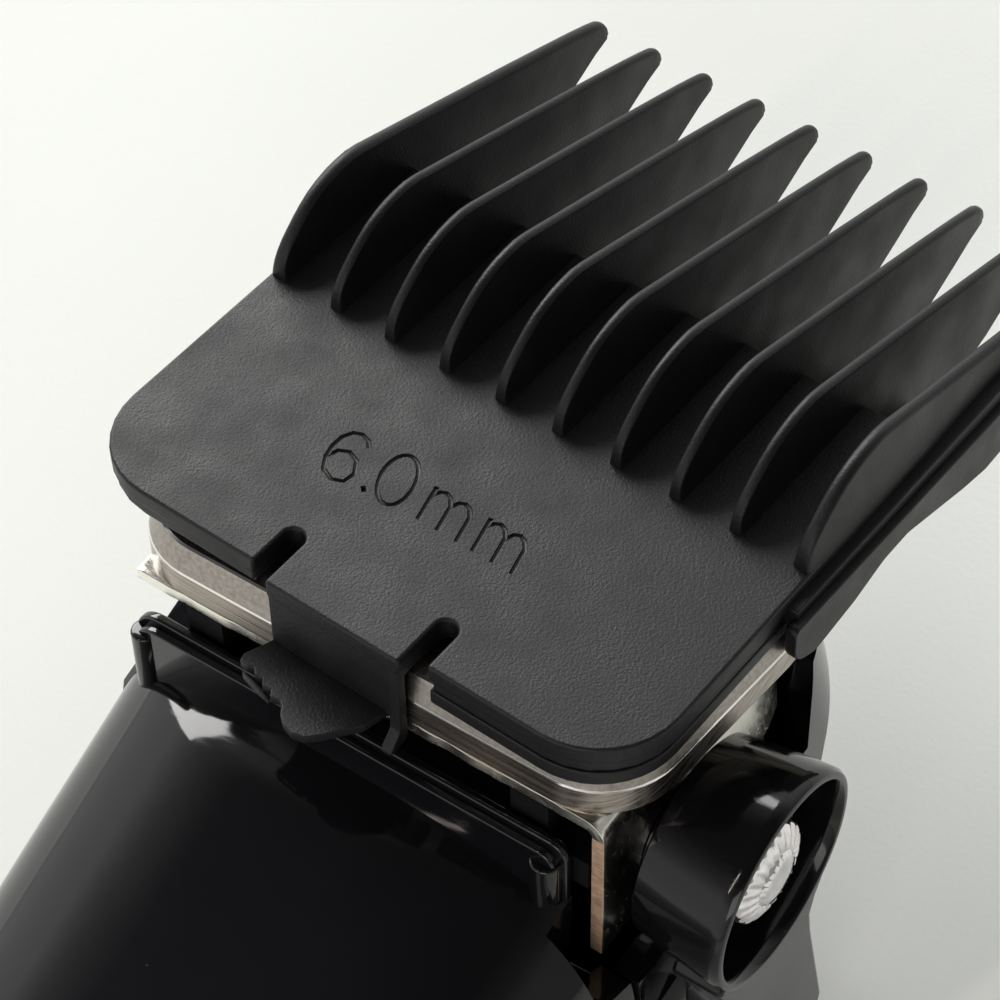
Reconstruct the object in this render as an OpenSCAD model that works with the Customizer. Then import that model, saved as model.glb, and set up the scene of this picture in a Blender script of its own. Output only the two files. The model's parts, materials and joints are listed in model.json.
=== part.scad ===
// Cordless hair clipper with a clip-on guide comb, lying on its lid.
// +Z is up (the skin side), +Y points to the teeth, +X is the taper lever's side.
// The origin is the middle of the flat land that the lid rests on.

/* [Head] */
// Angle of the blade plane to the body
head_tilt = 20; // [19:0.5:21]
// Distance from the origin forward to the comb's reference line
head_y = 62; // [61.5:0.5:62.5]
// Height of the comb's reference plane above the table
head_z = 44; // [44:0.5:45]
// Angle that the comb sits turned on its clip
comb_turn = 2.7; // [0:0.1:3]

/* [Guide comb] */
// Number of fins
fin_count = 10; // [8:1:10]
// Distance from fin to fin
fin_pitch = 4.9; // [4.6:0.1:4.9]
// Thickness of an inner fin
fin_t = 1.3; // [1:0.1:1.6]
// Height of the fins above the comb plate
fin_h = 6; // [3:0.5:10]
// Thickness of the comb plate
comb_plate_t = 2.5; // [2:0.1:2.6]
// Half width of the comb plate
comb_half_w = 23.2; // [23:0.1:23.6]

/* [Blades] */
// Distance from tooth to tooth
tooth_pitch = 1.5; // [1.4:0.1:1.8]
// Width of the gap between two teeth
tooth_gap = 0.65; // [0.5:0.05:0.8]
// Half width of the fixed blade at the teeth
blade_half_w = 22.3; // [22:0.1:22.4]
// Half width of the cutter
cutter_half_w = 17.5; // [16:0.5:17.5]

/* [Taper lever] */
// Outer radius of the lever's hub
hub_r = 8.4; // [8.2:0.1:8.6]
// Radius of the recess in the hub
recess_r = 7.4; // [7:0.1:7.5]
// Offset of the lever's cam from its pivot
cam_offset = 1.4; // [1:0.1:1.4]
// Length of the arm from the pivot
arm_l = 28.5; // [24:0.5:29]

/* [Body] */
// Height of the body at its middle
body_h = 40; // [39.5:0.5:40.5]
// Wall thickness of the casings
wall = 2.2; // [1.8:0.1:2.4]
// Height of the seam between the lower shell and the lid
seam_z = 24; // [23.5:0.5:24.5]

/* [Drive] */
// Height of the motor's axis
motor_z = 23; // [22.5:0.1:23]
// Radius of the motor can
motor_r = 11; // [10:0.5:11]
// Offset of the crank pin from the motor's axis
crank_r = 1.5; // [1.2:0.1:1.5]
// Radius of the crank pin
crank_pin_r = 1.5; // [1.2:0.1:1.5]

/* [Hidden] */

$fn = 64;
black = [0.05, 0.05, 0.055];
charcoal = [0.13, 0.13, 0.14];
steel = [0.72, 0.70, 0.67];
brass = [0.75, 0.60, 0.30];
far = 200;

// ---- Heights and places in the head's own frame ----
blade_top = -3;
blade_bottom = -7.6;
blade_rear = -22;
blade_tip = 20.5;
blade_tip_t = 1.2;
rear_corner_r = 6;
bracket_bottom = -8.6;
cutter_top = blade_bottom - 0.03;
cutter_bottom = -9.8;
leg_in_x = 18.4;
leg_out_x = 19.4;
leg_bottom = -22.2;
hub_y = -13.8;
hub_z = -15.9;
hub_in_x = 20.9;
hub_out_x = 28.5;
hub_floor_x = 24.8;
cam_r = 4;
cam_phase = 15;
pivot_r = 1.5;
pivot_clear = 0.05;
collar_top = -10.5;
collar_left = -20;
collar_right = 17.2;
collar_t = 1.4;
shell_front = -22.4;
blade_screw_places = [[-9, -15], [9, -15]];

// Places its children in the head's frame: Y along the blades, Z out of their skin side
module in_head() {
    translate([0, head_y, head_z]) rotate([-head_tilt, 0, 0]) children();
}

// Box from its lowest to its highest corner
module box(low, high) {
    translate(low) cube(high - low);
}

// Rod along X
module rod_x(x0, x1, y, z, r) {
    translate([x0, y, z]) rotate([0, 90, 0]) cylinder(r = r, h = x1 - x0);
}

// Rod along Y
module rod_y(y0, y1, x, z, r) {
    translate([x, y0, z]) rotate([-90, 0, 0]) cylinder(r = r, h = y1 - y0);
}

// Plate between two X values with a side outline of [y, z] points
module side_plate(x0, x1, outline) {
    translate([x0, 0, 0]) rotate([90, 0, 90]) linear_extrude(height = x1 - x0) polygon(outline);
}

// Round wire from one point to the next
module wire(points, r) {
    for (i = [0 : len(points) - 2]) {
        d = points[i + 1] - points[i];
        l = norm(d);
        translate(points[i] - d / l * r / 2) rotate([0, acos(d[2] / l), atan2(d[1], d[0])])
            cylinder(r = r, h = l + r);
    }
}

// ---- The body's outline ----
// Half width along the body as [y, half width], and the tail's rounding as [y, drop from the land or top]
plan_line = [[-86, 12.5], [-85, 15.8], [-83, 18], [-79, 19.8], [-73, 21.2], [-62, 22], [-50, 22],
    [-12, 20.6], [4, 21.2], [20, 22.2], [40, 23.2]];
tail_line = [[-86, 10], [-85, 6.6], [-82.6, 3.6], [-78, 1.5], [-70, 0.3], [-62, 0]];
section_half_w = 23.2;
section_bottom = -0.8;
section_power = 2.7;

function signed_pow(v, p) = sign(v) * pow(abs(v), p);
function section_point(a, inset) = [
    (section_half_w - inset) * signed_pow(cos(a), 2 / section_power),
    seam_z + signed_pow(sin(a), 2 / section_power)
        * (sin(a) > 0 ? body_h - seam_z - inset : seam_z - section_bottom - inset)
];
function back(list) = [for (i = [len(list) - 1 : -1 : 0]) list[i]];
// How far an end point of the tail is drawn in, so that the tail's wall keeps its thickness
function drawn_in(y, inset) = y < -84 ? y + inset : y < -80 ? y + inset / 2 : y;

// Bar along the body with the casings' rounded section
module section_bar(inset) {
    translate([0, 70, 0]) rotate([90, 0, 0]) linear_extrude(height = 160)
        polygon([for (a = [6 : 12 : 354]) section_point(a, inset)]);
}

module body_solid(inset) {
    intersection() {
        section_bar(inset);
        translate([0, 0, -5]) linear_extrude(height = 60) polygon(concat(
            [for (p = plan_line) [p[1] - inset, drawn_in(p[0], inset)]],
            [for (p = back(plan_line)) [inset - p[1], drawn_in(p[0], inset)]]));
        side_plate(-30, 30, concat(
            [[45, section_bottom - 1], [45, body_h + 1], [-55, body_h + 1]],
            [for (p = back(tail_line)) [drawn_in(p[0], inset), body_h - p[1] - inset]],
            [for (p = tail_line) [drawn_in(p[0], inset), p[1] + inset - 0.01]],
            [[-55, section_bottom - 1]]));
    }
}

// Everything in front of a plane across the head
module ahead_of(y) {
    in_head() box([-far, y, -far], [far, far, far]);
}

// The gap at the lever's side where the bracket's leg and the lever's hub move
module lever_window() in_head() {
    box([collar_right, -25.5, leg_bottom - 0.7], [far, 1.2, far]);
    rod_x(hub_in_x - 0.4, far, hub_y, hub_z, hub_r + 0.4);
}

screw_places = [[-13, -62], [13, -62], [-13, 2], [13, 2]];
screw_boss_r = 3.4;
screw_r = 1.2;
screw_seat_z = 14;
slider_y = [-22, -8];
slider_z = [27, 33];
slider_travel = 4;

module lower_shell() color(black) difference() {
    union() {
        difference() {
            body_solid(0);
            difference() {
                body_solid(wall);
                ahead_of(shell_front - wall);
            }
            box([-far, -far, -far], [far, far, seam_z]);
            ahead_of(shell_front);
        }
        // Upright collar behind the blade set
        in_head() box([collar_left, shell_front - collar_t, -20.8],
            [collar_right, shell_front, collar_top]);
        for (p = screw_places)
            translate([p[0], p[1], seam_z]) cylinder(r = screw_boss_r, h = 12);
    }
    lever_window();
    for (p = screw_places)
        translate([p[0], p[1], seam_z - 1]) cylinder(r = screw_r, h = 8);
    // Window for the power slider
    box([-30, slider_y[0] - 0.4, slider_z[0] - 0.3],
        [-17, slider_y[1] + slider_travel + 0.4, slider_z[1] + 0.3]);
    // Hole for the light pipe
    translate([0, -70, 30]) cylinder(r = 1.6, h = 20);
    // Opening for the front of the motor
    rod_y(20, 44, 0, motor_z, motor_r + 0.8);
}

lid_front = 36;
lid_top = seam_z - 0.02;

module top_lid() color(black) difference() {
    union() {
        difference() {
            body_solid(0);
            body_solid(wall);
            box([-far, -far, lid_top], [far, far, far]);
            box([-far, lid_front, -far], [far, far, far]);
        }
        for (p = screw_places)
            translate([p[0], p[1], 5]) cylinder(r = screw_boss_r, h = lid_top - 5);
        // Posts that the circuit board is screwed down to
        for (p = board_screw_places) translate([p[0], p[1], 1]) cylinder(r = 2.5, h = board_z - 1.05);
    }
    for (p = board_screw_places) translate([p[0], p[1], 5.5]) cylinder(r = 1.1, h = 8);
    box([-far, -far, -far], [far, far, 0]);
    for (p = screw_places) {
        translate([p[0], p[1], -1]) cylinder(r = 1.6, h = 30);
        translate([p[0], p[1], -1]) cylinder(r = 2.8, h = screw_seat_z + 1);
    }
    // Opening for the charging socket in the tail
    box([-4.8, -100, 14.2], [4.8, -70, 19.8]);
}

// Cross-head screws that pull the lid up to the lower shell
module housing_screws() color(steel)
    for (p = screw_places) translate([p[0], p[1], screw_seat_z]) difference() {
        union() {
            translate([0, 0, -1.5]) cylinder(r = 2.5, h = 1.5);
            translate([0, 0, -0.1]) cylinder(r = screw_r, h = 15);
        }
        box([-1.5, -0.3, -2], [1.5, 0.3, -0.8]);
        box([-0.3, -1.5, -2], [0.3, 1.5, -0.8]);
    }

// Side outlines of the nose as [y, z]
nose_side = [[lid_front + 0.1, 0], [43, 0], [50, 5.5], [55.4, 15.9], [64, 30.7],
    [34.8, 33.9], [31.2, lid_top + 0.1], [lid_front + 0.1, lid_top + 0.1]];
nose_cavity = [[25, 40], [25, wall], [42.4, wall], [48.6, 7], [53.4, 16.8], [61.2, 30.2],
    [61.2, 60], [25, 60]];
nose_half_w = 21.6;
nose_corner_r = 7;
nose_front = 64;

module nose_plan(inset) {
    centre_x = nose_half_w - nose_corner_r;
    centre_y = nose_front - nose_corner_r;
    polygon([[inset - section_half_w, 20], [inset - nose_half_w, centre_y], [-centre_x, centre_y],
        [-centre_x, nose_front - inset], [centre_x, nose_front - inset], [centre_x, centre_y],
        [nose_half_w - inset, centre_y], [section_half_w - inset, 20]]);
    for (s = [-1, 1]) translate([s * centre_x, centre_y]) circle(r = nose_corner_r - inset);
}

module nose_cover() color(black) difference() {
    intersection() {
        side_plate(-30, 30, nose_side);
        linear_extrude(height = 50) nose_plan(0);
        section_bar(0);
    }
    intersection() {
        side_plate(-30, 30, nose_cavity);
        translate([0, 0, -1]) linear_extrude(height = 80) nose_plan(wall);
        // Open above the seam at the lever's side, where the pivot's boss sits
        union() {
            section_bar(wall);
            box([8, -far, seam_z], [far, far, far]);
        }
    }
    lever_window();
}

plate_y = 42.5;
plate_t = 2;

// Moulded frame that carries the bracket's rails, the lever's pivot and the motor's front
module chassis() color(charcoal) difference() {
    union() {
        in_head() {
            for (x = [-15, 12]) box([x, -22, -13], [x + 3, -12, bracket_bottom - 0.05]);
            box([-15, -22, -15.2], [18.2, -12, -12.4]);
            rod_x(12, 18.2, hub_y, hub_z, 4);
            box([12, hub_y - 4, hub_z], [18.2, hub_y + 1.8, -13]);
        }
        difference() {
            box([-14, plate_y, 5.2], [14, plate_y + plate_t, 36]);
            in_head() box([-30, -30, -12.4], [30, 30, 30]);
        }
        // Feet on the nose's floor
        for (x = [-12, 9]) {
            box([x, 37, 3.6], [x + 3, plate_y - 0.2, 8]);
            box([x, plate_y - 1, 5.2], [x + 3, plate_y + 1, 8]);
        }
    }
    // Window for the eccentric, and clearance holes for the motor's screws
    rod_y(plate_y - 1, plate_y + plate_t + 1, 0, motor_z, 4.6);
    for (s = [-1, 1]) rod_y(plate_y - 1, plate_y + plate_t + 1, s * 7.5, motor_z, 1.25);
    in_head() rod_x(8, 20, hub_y, hub_z, pivot_r);
    // The motor's can passes under the rails
    rod_y(30, plate_y, 0, motor_z, motor_r + 0.3);
}

// ---- Guide comb ----
ridge = [[-0.9, 0], [-0.6, 0.2], [-0.15, 0.38], [0.8, 0.57], [2.0, 0.74], [3.4, 0.87],
    [5.1, 0.965], [7.4, 1]];
fin_tip = [[36.6, -2.6], [37.6, -3.2], [38.2, -4], [38.2, -5]];
fin_front = 22.2;

function ridge_points() = [for (p = ridge) [p[0], p[1] * fin_h]];

inner_fin = concat([[-0.9, -1]], ridge_points(), fin_tip,
    [[30.1, -8.1], [26, -9], [fin_front, -9.2], [fin_front, -4.6], [13.5, -2.4], [0, -1]]);
end_fin = concat([[-0.9, -1]], ridge_points(), fin_tip,
    [[30.1, -8.1], [26, -8.6], [fin_front, -8.2], [fin_front, -1]]);
flap = [[-4.4, -2.2], [-4.2, -3.6], [-3.2, -5.1], [-1.6, -6.1], [0.4, -6.2], [3, -5.5],
    [6, -4.7], [9, -4.6], [13, -5.5], [17, -6.9], [20, -7.6], [22, -7.4], [30.1, -8.1],
    [38.2, -5], [37, -4.2], [22, -4], [0.5, -2.2]];
tongue_x = [-5.1, 6.1];
tongue_rear = -23.1;
slot_w = 1.7;
slot_end = -19;

module comb_place() {
    in_head() translate([0, 22, 0]) rotate([0, 0, -comb_turn]) translate([0, -22, 0]) children();
}

module comb_outline() {
    difference() {
        union() {
            polygon([[-comb_half_w, 14], [-comb_half_w, -15.5], [6.4 - comb_half_w, -21.9],
                [comb_half_w - 6.4, -21.9], [comb_half_w, -15.5], [comb_half_w, 14]]);
            for (s = [-1, 1]) translate([s * (comb_half_w - 6.4), -15.5]) circle(r = 6.4);
        }
        for (x = [tongue_x[0] - slot_w / 2, tongue_x[1] + slot_w / 2]) {
            translate([x - slot_w / 2, -30]) square([slot_w, 30 + slot_end]);
            translate([x, slot_end]) circle(r = slot_w / 2);
        }
    }
    translate([tongue_x[0], tongue_rear]) square([tongue_x[1] - tongue_x[0], 3]);
}

module guide_comb() color(charcoal) comb_place() {
    translate([0, 0, -comb_plate_t]) linear_extrude(height = comb_plate_t) comb_outline();
    for (i = [1 : fin_count - 2]) {
        x = (i - (fin_count - 1) / 2) * fin_pitch;
        side_plate(x - fin_t / 2, x + fin_t / 2, inner_fin);
    }
    // The end fins close the sides, with a flap that reaches down beside the blade
    end_x = (fin_count - 1) / 2 * fin_pitch - 0.5;
    for (s = [0, 1]) mirror([s, 0, 0]) {
        side_plate(end_x, end_x + 1.7, end_fin);
        side_plate(comb_half_w + 0.5, comb_half_w + 1.3, flap);
        side_plate(comb_half_w - 0.2, comb_half_w + 0.7,
            [[-3.6, -1.4], [22, -2.6], [37, -3.6], [36, -5.2], [22.4, -5], [17, -4.2], [12, -2.85],
                [-3.6, -2.85]]);
    }
    // The tongue's wall, thumb tab and stiffening rib behind the blade
    wall_front = tongue_rear + 0.75;
    box([tongue_x[0], tongue_rear + 0.1, -6.5], [tongue_x[1] - 0.4, wall_front, -1]);
    box([tongue_x[0] - 0.9, tongue_rear - 4, -7.3], [tongue_x[1] - 1.4, wall_front - 0.2, -6.4]);
    side_plate(tongue_x[1] - 0.9, tongue_x[1], [[tongue_rear + 0.1, -1], [wall_front, -1],
        [wall_front, -8.6], [tongue_rear - 0.6, -9.1], [tongue_rear + 0.1, -7.8]]);
}

// ---- Blades ----
module blade_outline(tip) {
    r = rear_corner_r;
    polygon([[r - 20.6, blade_rear], [20.6 - r, blade_rear], [20.75, blade_rear + r],
        [22.2, -4], [blade_half_w, 0], [blade_half_w, tip], [-blade_half_w, tip],
        [-blade_half_w, 0], [-22.2, -4], [-20.75, blade_rear + r]]);
    for (s = [-1, 1]) translate([s * (20.6 - r), blade_rear + r]) circle(r = r);
}

// Gaps between the teeth, the same number on each side of the middle
module tooth_gaps(half_w, root, tip, low, high) {
    n = floor((half_w - 1.2) / tooth_pitch);
    for (i = [-n : n - 1])
        box([(i + 0.5) * tooth_pitch - tooth_gap / 2, root, low],
            [(i + 0.5) * tooth_pitch + tooth_gap / 2, tip + 1, high]);
}

module fixed_blade() color(steel) in_head() difference() {
    intersection() {
        side_plate(-30, 30, [[blade_rear - 1, blade_bottom], [blade_rear - 1, -5.2],
            [blade_rear, -5.2], [blade_rear + 1.1, blade_top], [6, blade_top],
            [blade_tip, blade_bottom + blade_tip_t], [blade_tip, blade_bottom]]);
        translate([0, 0, blade_bottom - 1]) linear_extrude(height = 8) blade_outline(blade_tip);
    }
    tooth_gaps(blade_half_w, 13, blade_tip, -9, 0);
    for (p = blade_screw_places)
        translate([p[0], p[1], blade_bottom - 1]) cylinder(r = 1.5, h = 4);
}

module moving_blade() color(steel) in_head() difference() {
    side_plate(-cutter_half_w, cutter_half_w, [[3, cutter_bottom], [3, cutter_top],
        [19.4, cutter_top], [19.4, cutter_top - 0.9], [13, cutter_bottom]]);
    tooth_gaps(cutter_half_w, 12.5, 20, -12, 0);
    for (s = [-1, 1]) translate([s * 6, 5.5, -12]) cylinder(r = 1, h = 6);
}

cam_rest_y = hub_y + cam_offset * sin(cam_phase);
cam_rest_z = hub_z - cam_offset * cos(cam_phase);
leg_outline = [[blade_rear, -8], [blade_rear, leg_bottom], [-3.4, leg_bottom], [0.4, -18.8],
    [-0.1, -15.1], [-2.2, -10.4], [-3.7, -8.7], [-3.7, -8]];

module blade_bracket() color(steel) in_head() difference() {
    union() {
        difference() {
            box([-leg_out_x, blade_rear, bracket_bottom], [leg_out_x, -3.7, blade_bottom]);
            // The plate is open in front, over the follower
            box([-10, -10, -10], [10, 0, -5]);
        }
        side_plate(leg_in_x, leg_out_x, leg_outline);
    }
    // Slot for the lever's cam
    for (z = [-0.1, 0.3])
        rod_x(leg_in_x - 1, leg_out_x + 1, cam_rest_y, cam_rest_z + z, cam_r + 0.06);
    box([leg_in_x - 1, cam_rest_y - cam_r - 0.06, cam_rest_z - 0.1],
        [leg_out_x + 1, cam_rest_y + cam_r + 0.06, cam_rest_z + 0.3]);
    for (p = blade_screw_places) translate([p[0], p[1], -12]) cylinder(r = 1.7, h = 6);
}

module blade_screws() color(steel) in_head()
    for (p = blade_screw_places) translate([p[0], p[1], bracket_bottom]) difference() {
        union() {
            translate([0, 0, -1.4]) cylinder(r = 2.6, h = 1.4);
            cylinder(r = 1.5, h = 3.8);
        }
        box([-1.6, -0.35, -2], [1.6, 0.35, -0.7]);
        box([-0.35, -1.6, -2], [0.35, 1.6, -0.7]);
    }

// Wire spring that presses the follower and the cutter up to the fixed blade
module tension_spring() color(steel) in_head() {
    r = 0.5;
    z_back = bracket_bottom - r - 0.02;
    wire([[-6.6, -2, -12.05], [-6.6, -8.6, -11.1], [-5, -11.4, z_back], [5, -11.4, z_back],
        [6.6, -8.6, -11.1], [6.6, -2, -12.05]], r);
}

// ---- Cutter drive ----
follower_leg = [48.6, 52.4];
follower_top = cutter_bottom - 0.02;
follower_half_w = 3.6;
follower_clear = 0.15;

module cam_follower() color("white") difference() {
    union() {
        in_head() {
            box([-8, -3.5, follower_top - 1.5], [8, 8, follower_top]);
            box([-follower_half_w, -10.5, follower_top - 1.5], [follower_half_w, 0, follower_top]);
            for (s = [-1, 1]) translate([s * 6, 5.5, follower_top - 1]) cylinder(r = 0.98, h = 3);
        }
        difference() {
            box([-follower_half_w, follower_leg[0], motor_z - 4.6],
                [follower_half_w, follower_leg[1], 45]);
            in_head() box([-30, -30, follower_top - 0.5], [30, 30, 30]);
        }
    }
    box([-crank_pin_r - follower_clear, follower_leg[0] - 1, motor_z - 3.4],
        [crank_pin_r + follower_clear, follower_leg[1] + 1, motor_z + 3.4]);
}

shaft_r = 1;
shaft_front = 46.9;
eccentric_front = 47.2;

module drive_eccentric() color("white") difference() {
    union() {
        rod_y(plate_y + plate_t + 0.2, eccentric_front, 0, motor_z, 4);
        rod_y(eccentric_front - 0.2, follower_leg[1], 0, motor_z + crank_r, crank_pin_r);
    }
    rod_y(plate_y, shaft_front, 0, motor_z, shaft_r);
}

module motor_shaft() color(steel) rod_y(9.5, shaft_front, 0, motor_z, shaft_r);

module rotor() color([0.45, 0.2, 0.1]) difference() {
    union() {
        rod_y(17, 37, 0, motor_z, 7.4);
        rod_y(13, 17, 0, motor_z, 3);
    }
    rod_y(12, 38, 0, motor_z, shaft_r);
    for (i = [0 : 2]) translate([0, 0, motor_z]) rotate([0, i * 120, 0])
        box([-0.7, 16.5, 4], [0.7, 38, 9]);
}

can_t = 0.8;

module motor_can() color(steel) difference() {
    rod_y(12, plate_y, 0, motor_z, motor_r);
    rod_y(11, plate_y - can_t, 0, motor_z, motor_r - can_t);
    rod_y(30, 50, 0, motor_z, 2.5);
    for (s = [-1, 1]) rod_y(30, 50, s * 7.5, motor_z, 1);
}

module motor_end_cap() color(charcoal) difference() {
    union() {
        rod_y(10, 12, 0, motor_z, motor_r);
        rod_y(12, 14, 0, motor_z, motor_r - can_t);
    }
    rod_y(12, 15, 0, motor_z, 8.4);
    rod_y(9, 15, 0, motor_z, shaft_r + pivot_clear);
}

// Sintered bush in the motor's nose
module motor_bush() color(brass) difference() {
    rod_y(39.5, plate_y, 0, motor_z, 2.5);
    rod_y(39, 44, 0, motor_z, shaft_r + pivot_clear);
}

module motor_magnets() color([0.25, 0.25, 0.27]) for (s = [0, 1]) mirror([s, 0, 0])
    difference() {
        rod_y(16, 38, 0, motor_z, motor_r - can_t - 0.02);
        rod_y(15, 39, 0, motor_z, 8);
        box([-20, 10, 0], [2.5, 40, 50]);
        box([-20, 10, motor_z + 7], [20, 40, 50]);
        box([-20, 10, 0], [20, 40, motor_z - 7]);
    }

module motor_screws() color(steel) for (s = [-1, 1]) difference() {
    union() {
        rod_y(plate_y - can_t - 1.5, plate_y + plate_t, s * 7.5, motor_z, 0.98);
        rod_y(plate_y + plate_t, plate_y + plate_t + 1.2, s * 7.5, motor_z, 1.9);
    }
    box([s * 7.5 - 1.2, plate_y + plate_t + 0.6, motor_z - 0.25],
        [s * 7.5 + 1.2, plate_y + plate_t + 3, motor_z + 0.25]);
}

// ---- Power ----
battery_r = 9;
battery_y = [-58, 7];
battery_z = 26.5;
board_z = 9;

module battery() color([0.1, 0.35, 0.6]) {
    rod_y(battery_y[0], battery_y[1], 0, battery_z, battery_r);
    rod_y(battery_y[1] - 0.1, battery_y[1] + 0.8, 0, battery_z, 3);
}

module battery_contacts() color(steel) {
    box([-4, battery_y[1] + 0.82, battery_z - 5], [4, battery_y[1] + 1.12, battery_z + 4]);
    box([-4, battery_y[0] - 0.35, board_z + 1.62], [4, battery_y[0] - 0.05, battery_z + 4]);
}

// Two saddles that hold the cell above the board
module battery_cradle() color(charcoal) difference() {
    union() {
        for (y = [-48, -12]) box([-9.5, y, board_z + 1.62], [9.5, y + 5, battery_z - 2]);
        box([-9.5, -46, board_z + 1.62], [-7.5, -8, board_z + 4.6]);
        box([7.5, -46, board_z + 1.62], [9.5, -8, board_z + 4.6]);
    }
    rod_y(-60, 10, 0, battery_z, battery_r + 0.05);
}

board_screw_places = [[-10, -52], [10, -4]];

module circuit_board() color([0.05, 0.3, 0.15]) {
    difference() {
        box([-13, -72, board_z], [13, 1, board_z + 1.6]);
        for (p = board_screw_places)
            translate([p[0], p[1], board_z - 1]) cylinder(r = 1.1, h = 4);
        // Notches round the lid's screw posts
        for (p = screw_places) translate([p[0], p[1], 0]) cylinder(r = screw_boss_r + 0.3, h = 30);
    }
    box([-5, -38, board_z - 1.2], [1, -32, board_z]);
    box([3, -28, board_z - 0.9], [7, -22, board_z]);
}

module board_screws() color(steel) for (p = board_screw_places)
    translate([p[0], p[1], board_z + 1.6]) {
        cylinder(r = 1.9, h = 1.1);
        translate([0, 0, -4.5]) cylinder(r = 1.08, h = 4.6);
    }

module charge_socket() color([0.3, 0.3, 0.32]) difference() {
    box([-4.6, -86.2, 14.4], [4.6, -73, 19.6]);
    box([-3.9, -87, 15.1], [3.9, -75, 18.9]);
}

module status_light() color("white") {
    box([-1.5, -71.5, board_z + 1.6], [1.5, -68.5, board_z + 2.4]);
    translate([0, -70, board_z + 2.4]) cylinder(r = 1, h = 0.8);
}

module light_pipe() color([0.8, 0.9, 1]) {
    translate([0, -70, board_z + 3.3]) cylinder(r = 1.5, h = 27.4);
    translate([0, -70, 36]) cylinder(r = 2.4, h = 0.8);
}

module motor_leads() color([0.7, 0.1, 0.1]) for (s = [-1, 1])
    wire([[s * 5, 9.4, motor_z - 4], [s * 6, -3.5, board_z + 2.3]], 0.55);

module power_slider() color(charcoal) {
    difference() {
        box([-23, slider_y[0], slider_z[0]], [-18.6, slider_y[1], slider_z[1]]);
        for (i = [0 : 4]) box([-24, slider_y[0] + 2.2 + i * 2.2, slider_z[0] - 1],
            [-22.5, slider_y[0] + 3.2 + i * 2.2, slider_z[1] + 1]);
    }
    box([-18.7, slider_y[0] + 1, slider_z[0] + 0.5], [-17.2, slider_y[1] - 1, slider_z[1] - 0.5]);
    box([-17.3, -16.5, 29], [-15, -13.5, 31]);
}

module switch_body() color(black) difference() {
    box([-16.2, -20.5, 26.5], [-11, -5.5, 33.5]);
    box([-17, -16.8, 28.7], [-14.6, -9.2, 31.3]);
}

// ---- Taper lever ----
module lever_outline() {
    circle(r = hub_r);
    polygon([[-7.6, 3.4], [-5, 10], [-6.1, 15.6], [-7.5, 21.5], [-8.2, arm_l - 4], [-5.6, arm_l],
        [4.2, arm_l], [6.8, arm_l - 4], [5.8, 20], [5.2, 11], [7.6, 3.4]]);
}

module taper_lever() color(black) in_head() difference() {
    union() {
        // The hub tapers towards the body, clear of the blade's corner
        translate([hub_in_x, hub_y, hub_z]) rotate([0, 90, 0])
            cylinder(r1 = hub_r - 0.8, r2 = hub_r, h = hub_out_x - hub_in_x);
        difference() {
            // The outline's second axis runs down the arm
            translate([hub_out_x - 4.4, hub_y, hub_z]) rotate([-90, 0, -90])
                linear_extrude(height = 4.4) lever_outline();
            translate([hub_out_x - 10, hub_y, hub_z]) rotate([0, 90, 0])
                cylinder(r = recess_r - 0.5, h = 5);
        }
        rod_x(leg_in_x - 0.1, hub_in_x + 0.1, cam_rest_y, cam_rest_z, cam_r);
    }
    rod_x(hub_floor_x, hub_out_x + 1, hub_y, hub_z, recess_r);
    rod_x(leg_in_x - 2, hub_out_x, hub_y, hub_z, pivot_r + pivot_clear);
}

// Domed screw, turned about the lever's pivot
module lever_screw() color(steel) in_head() {
    head_r = 4;
    head_h = 1;
    dome_h = 1.4;
    head_x = hub_floor_x + 0.75;
    thread_x = 12.5;
    translate([head_x, hub_y, hub_z]) rotate([0, 90, 0]) rotate_extrude() polygon(concat(
        [[0, thread_x - head_x], [pivot_r, thread_x - head_x], [pivot_r, 0], [head_r, 0]],
        [for (a = [0 : 10 : 80]) [head_r * cos(a), head_h + dome_h * sin(a)]],
        [[0, head_h + dome_h]]));
}

// Wave washer under the lever screw's head
module lever_washer() color(steel) in_head() difference() {
    rod_x(hub_floor_x + 0.05, hub_floor_x + 0.7, hub_y, hub_z, 3.6);
    rod_x(hub_floor_x - 1, hub_floor_x + 2, hub_y, hub_z, pivot_r + 0.2);
}

lower_shell();
top_lid();
nose_cover();
chassis();
housing_screws();
guide_comb();
fixed_blade();
blade_bracket();
blade_screws();
tension_spring();
moving_blade();
cam_follower();
taper_lever();
lever_screw();
lever_washer();
drive_eccentric();
motor_shaft();
rotor();
motor_can();
motor_end_cap();
motor_bush();
motor_magnets();
motor_screws();
motor_leads();
battery();
battery_contacts();
battery_cradle();
circuit_board();
board_screws();
charge_socket();
status_light();
light_pipe();
power_slider();
switch_body();
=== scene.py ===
import json
import math

import bmesh
import bpy
from mathutils import Matrix, Vector, noise


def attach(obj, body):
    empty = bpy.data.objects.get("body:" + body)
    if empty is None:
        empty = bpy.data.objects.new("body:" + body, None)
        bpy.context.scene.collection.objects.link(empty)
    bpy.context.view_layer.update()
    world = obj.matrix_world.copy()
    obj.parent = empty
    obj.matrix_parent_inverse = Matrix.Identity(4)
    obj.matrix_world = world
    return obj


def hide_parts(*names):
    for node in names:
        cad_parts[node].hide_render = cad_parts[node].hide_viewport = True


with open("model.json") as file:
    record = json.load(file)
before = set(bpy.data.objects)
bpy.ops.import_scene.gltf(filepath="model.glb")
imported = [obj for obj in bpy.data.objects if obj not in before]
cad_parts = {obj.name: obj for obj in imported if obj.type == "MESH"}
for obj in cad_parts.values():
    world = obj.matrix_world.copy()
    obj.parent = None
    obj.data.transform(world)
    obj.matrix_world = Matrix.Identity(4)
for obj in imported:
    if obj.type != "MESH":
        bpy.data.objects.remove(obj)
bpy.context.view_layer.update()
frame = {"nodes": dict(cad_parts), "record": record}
cad_nodes = frame["nodes"]

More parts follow.
